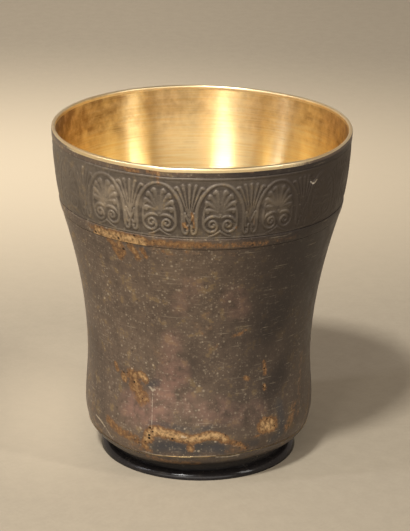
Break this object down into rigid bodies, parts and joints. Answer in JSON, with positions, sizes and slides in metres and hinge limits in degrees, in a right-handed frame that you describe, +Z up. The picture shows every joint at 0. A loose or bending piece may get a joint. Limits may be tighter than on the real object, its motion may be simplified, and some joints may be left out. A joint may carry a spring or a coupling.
{
  "type": "silver beaker",
  "caption": "Footed silver beaker with a waisted wall, a rolled palmette frieze under the lip, a gilt inside and a plain foot ring.",
  "frame": {"origin": "on the table, at the centre of the foot ring", "axes": "+Z up along the beaker's own axis, +X and +Y level; a palmette is centred 7 degrees round from -Y towards +X"},
  "size_m": [0.076, 0.076, 0.0868],
  "materials": {
    "tarnished_silver": "dark brown-purple tarnish on silver, satin, with pin-prick specks and worn patches",
    "worn_silver": "tarnish rubbed through to warm bright metal",
    "gilt_silver": "pale gilding on silver, bright, with fine turning lines"
  },
  "bodies": {
    "root": {"body_wall": "tarnished_silver", "base_pan": "tarnished_silver", "foot_ring": "tarnished_silver", "lip_wire": "gilt_silver", "frieze_strip": "tarnished_silver", "fillet_wire": "worn_silver"}
  },
  "joints": []
}
